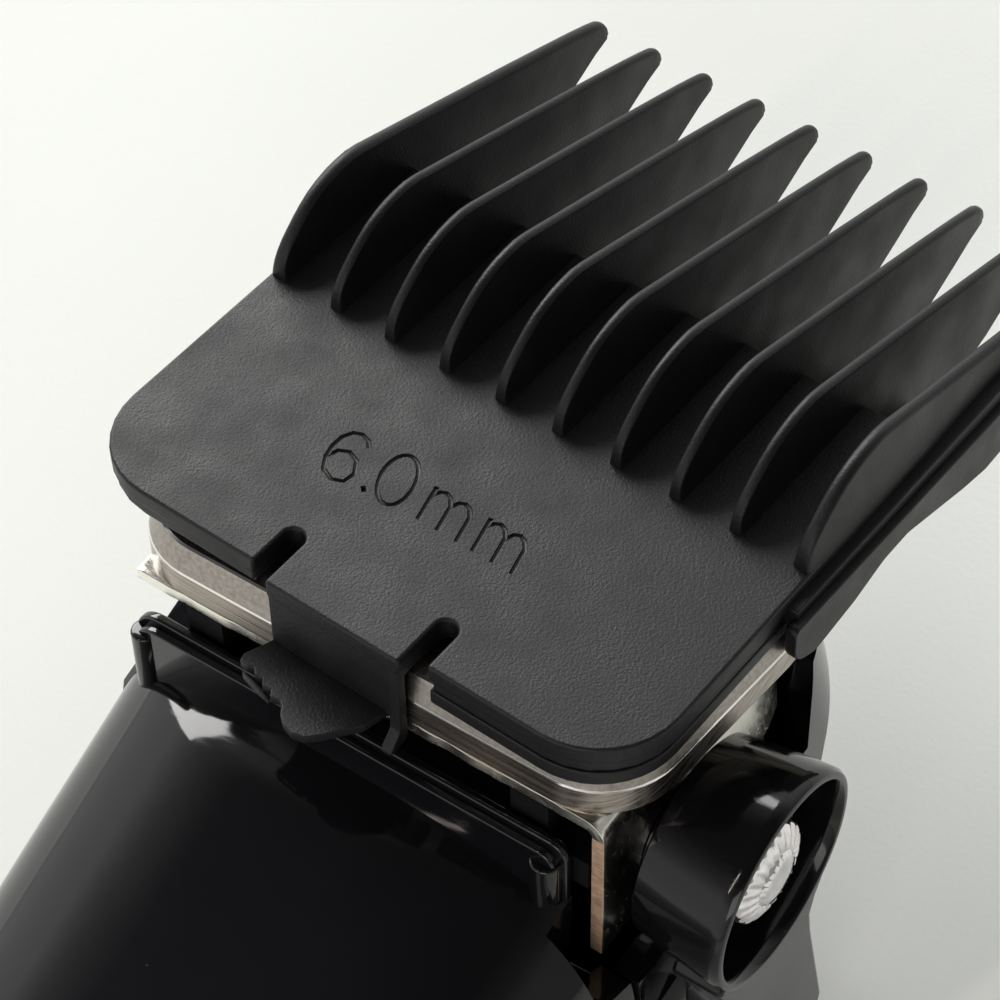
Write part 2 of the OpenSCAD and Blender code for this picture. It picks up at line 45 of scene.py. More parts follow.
# ---------------------------------------------------------------------------
# The table and its light
# A plain pale worktop under two large soft lamps and one narrow ceiling strip.
# The camera stands above the tail on the lever's side and looks down at the comb.
# ---------------------------------------------------------------------------
scene = bpy.context.scene
scene.view_settings.view_transform = "Standard"

camera_data = bpy.data.cameras.new("table camera")
camera_data.lens = 112
camera_data.sensor_width = 36
camera_data.clip_start = 0.01
camera = bpy.data.objects.new("table_camera", camera_data)
scene.collection.objects.link(camera)
right = Vector((0.8203, 0.5330, -0.2073)).normalized()
ahead = Vector((-0.3814, 0.2396, -0.8928)).normalized()
up = right.cross(ahead).normalized()
right = ahead.cross(up).normalized()
camera.matrix_world = Matrix.Translation((0.0810, 0.00455, 0.23263)) @ Matrix(
    (right, up, -ahead)).transposed().to_4x4()
scene.camera = camera

world = bpy.data.worlds.new("pale room")
scene.world = world
world.use_nodes = True
room = world.node_tree
skyward = room.nodes.new("ShaderNodeSeparateXYZ")
room.links.new(room.nodes.new("ShaderNodeTexCoord").outputs["Generated"], skyward.inputs[0])
lift = room.nodes.new("ShaderNodeMapRange")
lift.inputs["From Min"].default_value = -1
room.links.new(skyward.outputs["Z"], lift.inputs["Value"])
walls = room.nodes.new("ShaderNodeValToRGB")
walls.color_ramp.elements[0].color = (0.45, 0.45, 0.44, 1)
walls.color_ramp.elements[1].color = (0.05, 0.05, 0.055, 1)
# Pale walls up to a dark ceiling, by the height of the view from -1 to 1
for height, tone in ((-0.05, 0.80), (0.05, 1.0), (0.50, 1.0), (0.66, 0.42), (0.82, 0.07)):
    band = walls.color_ramp.elements.new((height + 1) / 2)
    band.color = (tone, tone, tone * 0.985, 1)
room.links.new(lift.outputs["Result"], walls.inputs["Fac"])
# The lever's side of the room is darker than the window's
side_fade = room.nodes.new("ShaderNodeMapRange")
for socket, value in (("From Min", -0.1), ("From Max", 0.7), ("To Min", 1.0), ("To Max", 0.28)):
    side_fade.inputs[socket].default_value = value
room.links.new(skyward.outputs["X"], side_fade.inputs["Value"])
faded = room.nodes.new("ShaderNodeVectorMath")
faded.operation = "SCALE"
room.links.new(walls.outputs["Color"], faded.inputs[0])
room.links.new(side_fade.outputs["Result"], faded.inputs["Scale"])
room.links.new(faded.outputs["Vector"], room.nodes["Background"].inputs["Color"])
room.nodes["Background"].inputs["Strength"].default_value = 1.0


def soft_lamp(name, place, target, width, depth, power, colour):
    data = bpy.data.lights.new(name, "AREA")
    data.shape = "RECTANGLE"
    data.size = width
    data.size_y = depth
    data.energy = power
    data.color = colour
    lamp = bpy.data.objects.new(name, data)
    scene.collection.objects.link(lamp)
    lamp.location = place
    lamp.rotation_euler = (Vector(target) - Vector(place)).to_track_quat("-Z", "Y").to_euler()
    return lamp


soft_lamp("window_lamp", (-0.96, 0.80, 0.62), (0, 0.05, 0.04), 1.0, 0.68, 20.5, (1.0, 0.99, 0.97))
soft_lamp("room_lamp", (0.30, -0.60, 0.50), (0.05, 0.03, 0.0), 0.45, 0.35, 1.2, (1.0, 0.98, 0.96))
soft_lamp("ceiling_strip", (-0.16, -0.34, 0.60), (0, 0.03, 0.04), 0.02, 0.26, 0.45, (1.0, 0.88, 0.80))


def new_material(name):
    material = bpy.data.materials.new(name)
    material.use_nodes = True
    tree = material.node_tree
    where = tree.nodes.new("ShaderNodeTexCoord").outputs["Object"]
    return material, tree, tree.nodes["Principled BSDF"], where


def node(tree, kind, sockets, **settings):
    made = tree.nodes.new(kind)
    for key, value in settings.items():
        setattr(made, key, value)
    for key, value in sockets.items():
        if isinstance(value, bpy.types.NodeSocket):
            tree.links.new(value, made.inputs[key])
        else:
            made.inputs[key].default_value = value
    return made


def grain(tree, where, scale, stretch=(1, 1, 1), turn=(0, 0, 0), detail=3.0):
    """Noise whose cells are 1 / scale metres, drawn out by the stretch."""
    placed = node(tree, "ShaderNodeMapping", {"Vector": where, "Scale": stretch, "Rotation": turn})
    cells = node(tree, "ShaderNodeTexNoise",
                 {"Vector": placed.outputs[0], "Scale": scale, "Detail": detail})
    return cells.outputs["Fac"]


def graded(tree, value, low, high, out_low, out_high):
    return node(tree, "ShaderNodeMapRange", {"Value": value, "From Min": low, "From Max": high,
                "To Min": out_low, "To Max": out_high}).outputs["Result"]


def blended(tree, value, dark, light):
    mix = node(tree, "ShaderNodeMix", {}, data_type="RGBA")
    tree.links.new(value, mix.inputs["Factor"])
    mix.inputs[6].default_value = (*dark, 1)
    mix.inputs[7].default_value = (*light, 1)
    return mix.outputs[2]


def relief(tree, height, depth, under=None):
    sockets = {"Height": height, "Distance": depth, "Strength": 1.0}
    if under is not None:
        sockets["Normal"] = under
    return node(tree, "ShaderNodeBump", sockets).outputs["Normal"]


table_mesh = bpy.data.meshes.new("table_top")
table_bm = bmesh.new()
bmesh.ops.create_grid(table_bm, x_segments=2, y_segments=2, size=2.5)
table_bm.to_mesh(table_mesh)
table_bm.free()
table_top = bpy.data.objects.new("table_top", table_mesh)
scene.collection.objects.link(table_top)
paint, tree, shader, where = new_material("table paint")
tree.links.new(blended(tree, grain(tree, where, 40), (0.80, 0.82, 0.79), (0.84, 0.86, 0.83)),
               shader.inputs["Base Color"])
shader.inputs["Roughness"].default_value = 0.75
shader.inputs["Emission Color"].default_value = (0.95, 0.97, 0.94, 1)
shader.inputs["Emission Strength"].default_value = 0.14
tree.links.new(relief(tree, grain(tree, where, 1800), 0.00002), shader.inputs["Normal"])
table_mesh.materials.append(paint)

# ---------------------------------------------------------------------------
# The guide comb
# One charcoal moulding that clips on the blade: a plate with rounded rear corners, ten fins
# that hold the hair off the skin, side flaps, and a springy tongue with a thumb tab.
# ---------------------------------------------------------------------------
MM = 0.001
clipper_frame = Matrix.Scale(MM, 4)
head_frame = clipper_frame @ Matrix.Translation((0, 62, 44)) @ Matrix.Rotation(math.radians(-20), 4, "X")
comb_frame = (head_frame @ Matrix.Translation((0, 22, 0)) @ Matrix.Rotation(math.radians(-2.7), 4, "Z")
              @ Matrix.Translation((0, -22, 0)))


def rounded(corners, steps=6):
    """Outline through corners given as (u, v, radius), each turned by an arc."""
    points = []
    for i, (u, v, radius) in enumerate(corners):
        here = Vector((u, v))
        back = Vector(corners[i - 1][:2]) - here
        forth = Vector(corners[(i + 1) % len(corners)][:2]) - here
        room_left = 0.49 * min(back.length, forth.length)
        back.normalize()
        forth.normalize()
        half = back.angle(forth) / 2
        if radius <= 0 or half > 1.5:
            points.append(here)
            continue
        cut = min(radius / math.tan(half), room_left)
        turn_r = cut * math.tan(half)
        centre = here + (back + forth).normalized() * (turn_r / math.sin(half))
        first = here + back * cut - centre
        last = here + forth * cut - centre
        start = math.atan2(first.y, first.x)
        sweep = (math.atan2(last.y, last.x) - start + math.pi) % (2 * math.pi) - math.pi
        for k in range(steps + 1):
            a = start + sweep * k / steps
            points.append(centre + Vector((math.cos(a), math.sin(a))) * turn_r)
    return points


def add_loft(bm, rings, caps=True, loop=False):
    """Skin over rings of equal length, closed round each ring."""
    rows = [[bm.verts.new(p) for p in ring] for ring in rings]
    pairs = list(zip(rows, rows[1:])) + ([(rows[-1], rows[0])] if loop else [])
    for a, b in pairs:
        for k in range(len(a)):
            n = (k + 1) % len(a)
            bm.faces.new((a[k], a[n], b[n], b[k]))
    if caps and not loop:
        bm.faces.new(rows[0][::-1])
        bm.faces.new(rows[-1])
    return rows


def add_slab(bm, outline, low, high, along="z"):
    """Plate with an outline, between two heights along an axis."""
    def place(p, w):
        return {"z": (p[0], p[1], w), "x": (w, p[0], p[1]), "y": (p[0], w, p[1])}[along]
    add_loft(bm, [[place(p, low) for p in outline], [place(p, high) for p in outline]])


def add_turned(bm, profile, centre, segments=64):
    """Shape turned about a line along X: profile holds (x, radius)."""
    rings = []
    for k in range(segments):
        a = 2 * math.pi * k / segments
        rings.append([(x, centre[0] + r * math.cos(a), centre[1] + r * math.sin(a)) for x, r in profile])
    rows = [[bm.verts.new(p) for p in ring] for ring in rings]
    count = len(profile)
    for k in range(segments):
        a, b = rows[k], rows[(k + 1) % segments]
        for i in range(count):
            n = (i + 1) % count
            bm.faces.new((a[i], a[n], b[n], b[i]))


def circle(u, v, radius, count):
    """Round outline about (u, v), with an even count of corners."""
    half = count // 2
    return [(u + radius * math.cos(a), v + radius * math.sin(a))
            for a in (k * math.pi / half for k in range(count))]


def settle(piece):
    """Makes the piece's modifiers part of its mesh."""
    bpy.context.view_layer.update()
    seen = piece.evaluated_get(bpy.context.evaluated_depsgraph_get())
    mesh = bpy.data.meshes.new_from_object(seen)
    piece.modifiers.clear()
    piece.data = mesh
    return piece


def make_piece(name, bm, place, materials, bevel=0.0, segments=2, angle=32, merge=True):
    """Object whose place is in its mesh, with its edges eased by the bevel in mm."""
    if merge:
        bmesh.ops.remove_doubles(bm, verts=bm.verts, dist=1e-5)
    bmesh.ops.recalc_face_normals(bm, faces=bm.faces)
    bm.transform(place)
    mesh = bpy.data.meshes.new(name)
    bm.to_mesh(mesh)
    bm.free()
    for material in materials:
        mesh.materials.append(material)
    piece = bpy.data.objects.new(name, mesh)
    scene.collection.objects.link(piece)
    if bevel:
        ease = piece.modifiers.new("ease", "BEVEL")
        ease.width = bevel * MM
        ease.segments = segments
        ease.limit_method = "ANGLE"
        ease.angle_limit = math.radians(angle)
        ease.use_clamp_overlap = True
        settle(piece)
    return piece


def shade(piece, angle=38):
    """Smooth faces that stay crisp over sharp edges."""
    piece.data.polygons.foreach_set("use_smooth", [True] * len(piece.data.polygons))
    piece.data.set_sharp_from_angle(angle=math.radians(angle))
    even = piece.modifiers.new("even", "WEIGHTED_NORMAL")
    even.keep_sharp = True
    even.weight = 80
    return settle(piece)


def cut(piece, bm, place, name="cutter"):
    """Cuts the solids in bm out of the piece."""
    tool = make_piece(name, bm, place, [])
    bite = piece.modifiers.new("bite", "BOOLEAN")
    bite.operation = "DIFFERENCE"
    bite.solver = "EXACT"
    bite.use_self = True
    bite.object = tool
    settle(piece)
    bpy.data.objects.remove(tool)
    return piece


def keep(piece, body, slot, *replaced):
    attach(piece, body)
    if replaced:
        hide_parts(*replaced)
    return piece


# Charcoal moulding: fine spark-eroded grain, short handling marks and a faint sheen
charcoal, tree, shader, where = new_material("comb charcoal")
mottle = grain(tree, where, 260, detail=4)
spark = grain(tree, where, 5200, detail=2)
rubs = grain(tree, where, 900, stretch=(1.0, 5.5, 1.0), turn=(0, 0, 0.6), detail=3)
rubbed = graded(tree, rubs, 0.60, 0.78, 0.0, 0.35)
tone = node(tree, "ShaderNodeMath", {0: mottle, 1: rubbed}, operation="ADD")
tree.links.new(blended(tree, tone.outputs[0], (0.0060, 0.0060, 0.0070), (0.0105, 0.0105, 0.0120)),
               shader.inputs["Base Color"])
tree.links.new(graded(tree, mottle, 0.30, 0.70, 0.40, 0.54), shader.inputs["Roughness"])
tree.links.new(relief(tree, spark, 0.00003, relief(tree, rubs, 0.000006)), shader.inputs["Normal"])
shader.inputs["Specular IOR Level"].default_value = 0.32

plate_corners = [
    (-23.2, 14, 0.3), (-23.2, -21.9, 6.4), (-6.8, -21.9, 0.3), (-6.8, -18.0, 0.84), (-5.1, -18.0, 0.84),
    (-5.1, -22.8, 0.25), (6.1, -22.8, 0.25), (6.1, -18.0, 0.84), (7.8, -18.0, 0.84), (7.8, -21.9, 0.3),
    (23.2, -21.9, 6.4), (23.2, 14, 0.3)]
bm = bmesh.new()
add_slab(bm, rounded(plate_corners, 8), -1.55, 0)
comb_plate = make_piece("guide_comb", bm, comb_frame, [charcoal], bevel=0.38, segments=3, angle=50)

# The guide length, engraved with a round-nosed tool
letter_lean = 0.24
six = [(2.5, 3.7), (2.15, 4.2), (1.5, 4.4), (0.85, 4.15), (0.3, 3.4), (0.05, 2.4), (0.05, 1.4),
       (0.4, 0.4), (1.3, 0.0), (2.2, 0.35), (2.6, 1.3), (2.2, 2.3), (1.4, 2.65), (0.6, 2.3), (0.15, 1.5)]
nought = [(1.35 + 1.3 * math.sin(a * math.pi / 12), 2.2 - 2.2 * math.cos(a * math.pi / 12))
          for a in range(25)]
stem = [(0, 0), (0, 3.05)]
first_arch = [(0, 2.1), (0.4, 2.8), (0.85, 3.0), (1.3, 2.8), (1.62, 2.2), (1.62, 0)]
second_arch = [(u + 1.62, v) for u, v in first_arch]
groove_r = 0.19
point_r = 0.3
point = [(0, 0), (0.3, 0.24)]
marks = [(-8.55, -13.3, six, groove_r), (-4.4, -12.85, nought, groove_r), (-5.05, -12.8, point, point_r)]
for start_x in (-0.35, 4.25):
    marks += [(start_x, -12.6, stroke, groove_r) for stroke in (stem, first_arch, second_arch)]
bm = bmesh.new()
for x0, y0, stroke, tool_r in marks:
    path = [Vector((x0 + u - letter_lean * v, y0 + v, 0.02)) for u, v in stroke]
    closed = (path[0] - path[-1]).length < 0.01
    if closed:
        path.pop()
    rings = []
    for i, p in enumerate(path):
        before = path[i - 1] if closed or i else p
        after = path[(i + 1) % len(path)] if closed or i < len(path) - 1 else p
        run = (after - before).normalized()
        side = Vector((run.y, -run.x, 0))
        rings.append([p + side * tool_r * math.cos(a) + Vector((0, 0, tool_r * math.sin(a)))
                      for a in (k * math.pi / 4 for k in range(8))])
    add_loft(bm, rings, loop=closed)
cut(comb_plate, bm, comb_frame)
shade(comb_plate, 40)


def between(table, t):
    """Value at t on a line through (t, value) pairs."""
    for (t0, v0), (t1, v1) in zip(table, table[1:]):
        if t <= t1:
            return v0 + (v1 - v0) * max(0.0, (t - t0)) / (t1 - t0)
    return table[-1][1]


# The fins' top line from rear to tip, and the lower edges of the inner and end fins
ridge = [(-0.9, 0.0), (-0.86, 0.5), (-0.75, 1.1), (-0.55, 1.65), (-0.2, 2.25), (0.3, 2.85), (0.9, 3.4),
         (1.6, 4.0), (2.4, 4.6), (3.3, 5.15), (4.3, 5.55), (5.4, 5.83), (6.5, 5.96), (7.6, 5.97), (8.8, 5.75),
         (12, 4.86), (17, 3.48), (22, 2.1), (27, 0.7), (31, -0.45), (34.3, -1.42), (36.4, -2.1), (37.5, -2.5),
         (38.0, -2.85), (38.27, -3.25), (38.38, -3.7)]
inner_foot = [(-0.9, -1), (0, -1.2), (13.5, -2.4), (14.5, -4.6), (22.0, -9.2), (26, -9), (30.1, -7.7),
              (36, -4.9), (38.3, -4.15), (38.4, -4.1)]
end_foot = [(-0.9, -1.4), (14, -1.6), (22.0, -8.0), (30.1, -7.7), (36, -4.9), (38.3, -4.15), (38.4, -4.1)]


def add_fin(bm, x, top_half, foot_half, foot):
    rings = []
    for y, z in ridge:
        low = min(between(foot, y), z - 0.4)
        tip = max(0.0, min(1.0, (y - 33) / 5))
        half = (top_half + 0.08 * tip) * (0.75 if y > 38.2 else 1.0)
        wide = foot_half if y < 30 else foot_half - (foot_half - half) * tip
        crown = [(half * math.cos(a), z - half * 0.8 + half * 0.8 * math.sin(a))
                 for a in (math.pi * k / 6 for k in range(7))]
        foot_z = max(low, -1.0) if y < 14 else low
        ring = [(wide, low)] + [(wide, foot_z + 0.05)] + crown + [(-wide, foot_z + 0.05)] + [(-wide, low)]
        rings.append([(x + u, y, v) for u, v in ring])
    add_loft(bm, rings)


def repeat_row(piece, count, step, material, name):
    """Repeats the piece's mesh along a straight row."""
    tree = bpy.data.node_groups.new(name, "GeometryNodeTree")
    face = tree.interface
    face.new_socket("One", in_out="INPUT", socket_type="NodeSocketGeometry")
    face.new_socket("Count", in_out="INPUT", socket_type="NodeSocketInt")
    face.new_socket("Step", in_out="INPUT", socket_type="NodeSocketVector")
    face.new_socket("Row", in_out="OUTPUT", socket_type="NodeSocketGeometry")
    given = tree.nodes.new("NodeGroupInput")
    made = tree.nodes.new("NodeGroupOutput")
    line = tree.nodes.new("GeometryNodeMeshLine")
    line.mode = "OFFSET"
    spread = tree.nodes.new("GeometryNodeInstanceOnPoints")
    solid = tree.nodes.new("GeometryNodeRealizeInstances")
    finish = tree.nodes.new("GeometryNodeSetMaterial")
    finish.inputs["Material"].default_value = material
    tree.links.new(given.outputs["Count"], line.inputs["Count"])
    tree.links.new(given.outputs["Step"], line.inputs["Offset"])
    tree.links.new(line.outputs["Mesh"], spread.inputs["Points"])
    tree.links.new(given.outputs["One"], spread.inputs["Instance"])
    tree.links.new(spread.outputs["Instances"], solid.inputs["Geometry"])
    tree.links.new(solid.outputs["Geometry"], finish.inputs["Geometry"])
    tree.links.new(finish.outputs["Geometry"], made.inputs["Row"])
    row = piece.modifiers.new("row", "NODES")
    row.node_group = tree
    for item in face.items_tree:
        if item.in_out == "INPUT" and item.name in ("Count", "Step"):
            row[item.identifier] = count if item.name == "Count" else list(step)
    return settle(piece)


def along(place, x, y, z):
    """Step given in a frame's own directions, in metres in the clipper's frame."""
    return place.to_3x3() @ Vector((x, y, z))


# Inner fins, one shape repeated across the plate
fin_pitch = 4.9
inner_count = 8
bm = bmesh.new()
add_fin(bm, -(inner_count - 1) / 2 * fin_pitch, 0.40, 0.66, inner_foot)
inner_fins = make_piece("inner_fins", bm, comb_frame, [charcoal])
repeat_row(inner_fins, inner_count, along(comb_frame, fin_pitch, 0, 0), charcoal, "fin row")
shade(inner_fins, 50)

# End fins, side flaps, the lower tier of the plate, and the tongue's wall, tab and rib
bm = bmesh.new()
for side in (-1, 1):
    add_fin(bm, side * 22.4, 0.55, 0.82, end_foot)
end_fins = make_piece("end_fins", bm, comb_frame, [charcoal])
shade(end_fins, 50)

bm = bmesh.new()
lower_tier = [
    (-23.0, 14.2, 0.3), (-23.0, -21.7, 6.2), (-7.0, -21.7, 0.3), (-7.0, -17.6, 0.8), (-4.9, -17.6, 0.8),
    (-4.9, -22.4, 0.2), (5.9, -22.4, 0.2), (5.9, -17.6, 0.8), (8.0, -17.6, 0.8), (8.0, -21.7, 0.3),
    (23.0, -21.7, 6.2), (23.0, 14.2, 0.3)]
add_slab(bm, rounded(lower_tier, 6), -2.55, -1.5)
# The lever's side: a flap outside a thinner web that joins it to the plate
flap = [(-4.4, -1.6, 0.5), (-4.3, -5.0, 2.6), (-1.6, -6.2, 1.5), (3, -5.6, 3), (6.5, -4.6, 3),
        (9.5, -4.6, 3), (17, -6.9, 4), (20, -7.6, 1), (22, -7.5, 1), (30.1, -8.1, 2), (38.0, -5.0, 0.6),
        (37, -3.9, 0.6), (22, -2.6, 2)]
web = [(-3.4, -0.9, 0.2), (22, -1.2, 2), (37, -3.3, 0.3), (36, -4.8, 0.3), (22.4, -3.9, 2), (17, -3.6, 2),
       (12, -2.85, 1), (-3.4, -2.8, 0.3)]
add_slab(bm, rounded(flap, 4), 23.7, 24.6, "x")
add_slab(bm, rounded(web, 3), 22.9, 24.0, "x")
# A skirt hangs from the plate's rim round the blade's corner on this side
skirt_rim = rounded([(7.9, -21.85, 0), (23.1, -21.85, 6.3), (23.1, -3.0, 0)], 10)
skirt_inside = rounded([(7.9, -21.1, 0), (22.4, -21.1, 5.6), (22.4, -3.0, 0)], 10)
add_slab(bm, skirt_rim + skirt_inside[::-1], -3.8, -2.5)
# The far flap sits lower on its web and stops short of the fin's tip
far_flap = [(-4.4, -3.4, 0.5), (-4.3, -5.0, 1.0), (-1.6, -6.2, 1.5), (3, -5.8, 3), (6.5, -5.2, 3),
            (9.5, -5.3, 3), (17, -6.9, 3), (20, -7.6, 1), (22, -7.5, 1), (29.5, -8.1, 1),
            (30.5, -6.2, 0.6), (22, -4.6, 2), (2, -3.3, 1)]
far_web = [(-3.4, -2.0, 0.2), (22, -3.0, 2), (30, -4.2, 0.3), (29.5, -6.8, 0.3), (22.4, -5.6, 2),
           (13.5, -4.8, 2), (-3.4, -4.2, 0.3)]
add_slab(bm, rounded(far_flap, 4), -24.5, -23.7, "x")
add_slab(bm, rounded(far_web, 3), -23.9, -22.7, "x")
# The tongue's wall, and the rib beside the tab
add_slab(bm, [(-5.1, -1.2), (5.8, -1.2), (5.8, -6.8), (-5.1, -6.8)], -22.62, -22.1, "y")
rib = rounded([(-22.75, -1.2, 0), (-22.0, -1.2, 0), (-22.0, -8.5, 0.2), (-22.2, -9.0, 0.2),
               (-24.0, -9.2, 0.25), (-23.8, -8.7, 0.3), (-22.85, -7.6, 0.6)], 3)
add_slab(bm, rib, 5.15, 6.05, "x")
comb_sides = make_piece("comb_sides", bm, comb_frame, [charcoal], bevel=0.22, segments=2, angle=40)
shade(comb_sides, 45)

# The moulding's gate was torn off the tab's rear edge
bm = bmesh.new()
torn = [(-5.0, -22.3), (-5.9, -24.6), (-5.75, -25.2), (-5.0, -25.25), (-4.6, -25.05), (-4.2, -25.5),
        (-3.6, -25.35), (-3.2, -25.9), (-2.5, -25.75), (-2.2, -26.3), (-1.5, -26.1), (-1.1, -26.35),
        (-0.7, -27.0), (0.0, -27.5), (0.9, -27.75), (1.8, -27.5), (2.5, -26.8), (4.3, -24.4), (4.75, -22.3)]
add_slab(bm, torn, -7.25, -6.45)
# A thin sliver left hanging where the gate broke away
sliver = [(-5.5, -25.3), (-5.1, -25.75), (-3.4, -26.2), (-2.3, -26.35), (-2.6, -25.9), (-4.3, -25.5)]
add_slab(bm, sliver, -7.5, -7.2)
thumb_tab = make_piece("thumb_tab", bm, comb_frame, [charcoal], bevel=0.1, segments=2, angle=20)
shade(thumb_tab, 30)

keep(comb_plate, "comb", "comb_charcoal", "guide_comb")
for part in (inner_fins, end_fins, comb_sides, thumb_tab):
    keep(part, "comb", "comb_charcoal")

# ---------------------------------------------------------------------------
# The fixed blade
# Hardened steel plate, ground on its top bevel and edges, with teeth cut across its front.
# Its rear corners are rounded to match the comb. Two screws hold it from below.
# ---------------------------------------------------------------------------


def brushed(name, dark, light, rough_low, rough_high, scale, stretch, depth, metal=1.0):
    """Ground or rolled metal, its grain drawn out by the stretch along the head's slope."""
    material, tree, shader, where = new_material(name)
    lines = grain(tree, where, scale, stretch=stretch, turn=(0.35, 0, 0), detail=5)
    tree.links.new(blended(tree, graded(tree, lines, 0.30, 0.70, 0, 1), dark, light),
                   shader.inputs["Base Color"])
    tree.links.new(graded(tree, lines, 0.3, 0.7, rough_low, rough_high), shader.inputs["Roughness"])
    tree.links.new(relief(tree, lines, depth), shader.inputs["Normal"])
    shader.inputs["Metallic"].default_value = metal
    return material


ground_steel = brushed("ground steel", (0.27, 0.245, 0.22), (0.42, 0.385, 0.35), 0.30, 0.42, 3200,
                       (1, 1, 1), 0.00001)
edge_steel = brushed("edge steel", (0.26, 0.22, 0.19), (0.55, 0.49, 0.43), 0.22, 0.38, 500,
                     (0.12, 1, 9), 0.00002)
# Near-white steel that paints the highlight lines along the blade's rim
painted_highlight_steel = brushed("painted highlight steel", (0.80, 0.77, 0.73), (0.92, 0.90, 0.87), 0.12, 0.2, 900,
                        (0.2, 1, 3), 0.00001)


def blade_ring(inset, z):
    corner_r = 6.0 - inset * 0.6
    corners = [(-22.3 + inset, 6.2, 0), (-22.25 + inset, -4, 8), (-20.7 + inset, -22 + inset, corner_r),
               (20.7 - inset, -22 + inset, corner_r), (22.25 - inset, -4, 8), (22.3 - inset, 6.2, 0)]
    return [(p.x, p.y, z) for p in rounded(corners, 10)]


bm = bmesh.new()
levels = [(0.12, -7.6), (0.0, -7.48), (0.0, -5.36), (0.07, -5.2), (0.56, -3.32), (0.68, -3.1), (0.86, -3.0)]
rows = add_loft(bm, [blade_ring(inset, z) for inset, z in levels])
# The chamfer at the bevel's foot and the one along the top edge get the near-white steel: painted highlight
# lines
for face in bm.faces:
    heights = sorted({round(v.co.z, 3) for v in face.verts})
    glint = heights[-1] <= -5.15 or heights[0] >= -3.15 and len(face.verts) == 4
    face.material_index = 1 if heights[-1] <= -5.3 else 2 if glint else 0
nose_slope = [(6.0, -7.6), (6.0, -3.0), (13.6, -4.85), (13.6, -7.6)]
add_slab(bm, nose_slope, -22.3, 22.3, "x")
blade_plate = make_piece("fixed_blade", bm, head_frame, [ground_steel, edge_steel, painted_highlight_steel])
shade(blade_plate, 24)

tooth_pitch = 1.5
tooth_count = 29


def add_tooth(bm, x, top, root, tip, low, lift):
    """Tooth that narrows to its tip, from a root inside the plate."""
    rings = []
    for y, half, high in ((root, 0.425, top), (tip - 1.2, 0.40, lift + 0.3),
                          (tip - 0.3, 0.30, lift + 0.08), (tip, 0.16, lift - 0.1)):
        rings.append([(x - half, y, low), (x + half, y, low), (x + half, y, high - 0.12),
                      (x + half * 0.7, y, high), (x - half * 0.7, y, high), (x - half, y, high - 0.12)])
    add_loft(bm, rings)


bm = bmesh.new()
add_tooth(bm, -(tooth_count - 1) / 2 * tooth_pitch, -4.7, 13.0, 20.5, -7.6, -6.3)
fixed_teeth = make_piece("fixed_teeth", bm, head_frame, [ground_steel])
repeat_row(fixed_teeth, tooth_count, along(head_frame, tooth_pitch, 0, 0), ground_steel, "tooth row")
shade(fixed_teeth, 30)
keep(blade_plate, "carriage", "blade_steel", "fixed_blade")
keep(fixed_teeth, "carriage", "blade_steel")

# ---------------------------------------------------------------------------
# The moving blade
# A narrower comb of ground steel that runs across under the fixed blade, on the follower's pegs.
# ---------------------------------------------------------------------------
bm = bmesh.new()
add_slab(bm, [(3, -9.8), (3, -7.63), (13, -7.63), (13, -9.8)], -17.5, 17.5, "x")
cutter = make_piece("moving_blade", bm, head_frame, [edge_steel], bevel=0.15)
# Two holes for the follower's pegs
bm = bmesh.new()
for x in (-6, 6):
    add_slab(bm, circle(x, 5.5, 1, 24), -12, -7)
cut(cutter, bm, head_frame)
shade(cutter, 30)
cutter_count = 23
first_x = -(cutter_count - 1) / 2 * tooth_pitch
cutting_face = -7.64
bm = bmesh.new()
rings = []
for y, half, low in ((12.6, 0.42, -9.7), (18.2, 0.38, -8.75), (19.4, 0.2, -8.5)):
    rings.append([(first_x - half, y, low), (first_x + half, y, low), (first_x + half, y, cutting_face),
                  (first_x - half, y, cutting_face)])
add_loft(bm, rings)
cutter_teeth = make_piece("cutter_teeth", bm, head_frame, [edge_steel])
repeat_row(cutter_teeth, cutter_count, along(head_frame, tooth_pitch, 0, 0), edge_steel, "cutter tooth row")
shade(cutter_teeth, 30)
keep(cutter, "cutter", "blade_steel", "moving_blade")
keep(cutter_teeth, "cutter", "blade_steel")

# ---------------------------------------------------------------------------
# The blade bracket
# Zinc-plated sheet steel, 1 mm thick, sheared along its rear edge and bent down at the lever's
# side into a leg. The lever's cam works in the leg's slot and moves the whole blade set.
# ---------------------------------------------------------------------------
plated = brushed("zinc plate", (0.86, 0.82, 0.73), (0.97, 0.95, 0.88), 0.16, 0.28, 900,
                 (1, 2.5, 1), 0.000012)
sheared = brushed("sheared edge", (0.46, 0.29, 0.18), (0.78, 0.56, 0.39), 0.35, 0.50, 1500,
                  (1, 1, 3), 0.00003, metal=0.4)

